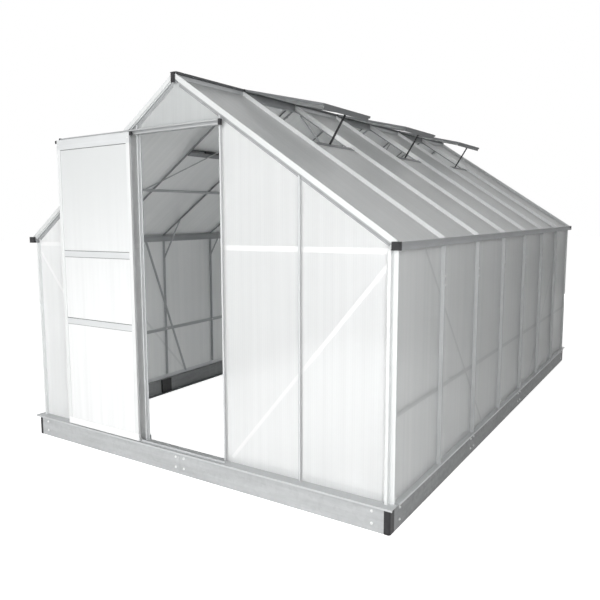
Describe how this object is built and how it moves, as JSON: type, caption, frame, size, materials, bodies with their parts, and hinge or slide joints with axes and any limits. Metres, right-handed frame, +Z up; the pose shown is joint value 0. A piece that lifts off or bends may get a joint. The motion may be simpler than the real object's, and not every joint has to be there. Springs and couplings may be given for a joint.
{
  "type": "greenhouse",
  "caption": "Walk-in apex greenhouse: translucent twin-wall sheets in an aluminium bar frame on a folded steel base, with a sliding door, gutters and roof vents",
  "frame": {"origin": "middle of the footprint on the ground, under the base", "axes": "X across the front gable, Y along the ridge from the front gable to the back one, Z up"},
  "size_m": [2.592, 4.342, 2.2253],
  "materials": {
    "twin_wall_sheet": "translucent twin-wall polycarbonate sheet",
    "galvanised_base": "hot-dip galvanised sheet steel",
    "black_plastic": "black moulded plastic",
    "grey_aluminium": "grey mill-finish extrusion",
    "inner_bars": "mill-finish flat bar",
    "bright_aluminium": "bright satin extrusion"
  },
  "bodies": {
    "frame": {"back_panels": "twin_wall_sheet", "back_posts": "bright_aluminium", "base_connectors": "black_plastic", "base_corner_caps": "black_plastic", "base_ends": "galvanised_base", "base_sides": "galvanised_base", "corner_posts": "bright_aluminium", "door_lintel": "bright_aluminium", "door_track": "bright_aluminium", "front_left_panels": "twin_wall_sheet", "front_posts": "bright_aluminium", "front_right_panels": "twin_wall_sheet", "front_top_panel": "twin_wall_sheet", "gable_braces": "inner_bars", "gable_rafters": "bright_aluminium", "gable_rails": "inner_bars", "gutter_end_caps": "black_plastic", "knee_braces": "inner_bars", "left_gutter": "grey_aluminium", "left_panels": "twin_wall_sheet", "purlins": "inner_bars", "ridge": "grey_aluminium", "ridge_end_caps": "black_plastic", "right_gutter": "grey_aluminium", "right_panels": "twin_wall_sheet", "roof_bars": "bright_aluminium", "roof_braces": "inner_bars", "roof_panels": "twin_wall_sheet", "side_girts": "inner_bars", "side_posts": "bright_aluminium", "sill_back": "bright_aluminium", "sill_front": "bright_aluminium", "sill_left": "bright_aluminium", "sill_right": "bright_aluminium", "track_end_caps": "black_plastic", "vent_frames": "bright_aluminium", "vent_panels": "twin_wall_sheet", "vent_sills": "bright_aluminium", "vent_stays": "black_plastic", "wall_braces": "inner_bars"},
    "door": {"door_axles": "inner_bars", "door_panels": "twin_wall_sheet", "door_rails": "bright_aluminium", "door_rollers": "black_plastic", "door_stiles": "bright_aluminium"}
  },
  "joints": [
    {"name": "door_slide", "type": "slide", "parent": "frame", "child": "door", "axis": [1, 0, 0], "range_m": [0, 0.628]}
  ]
}
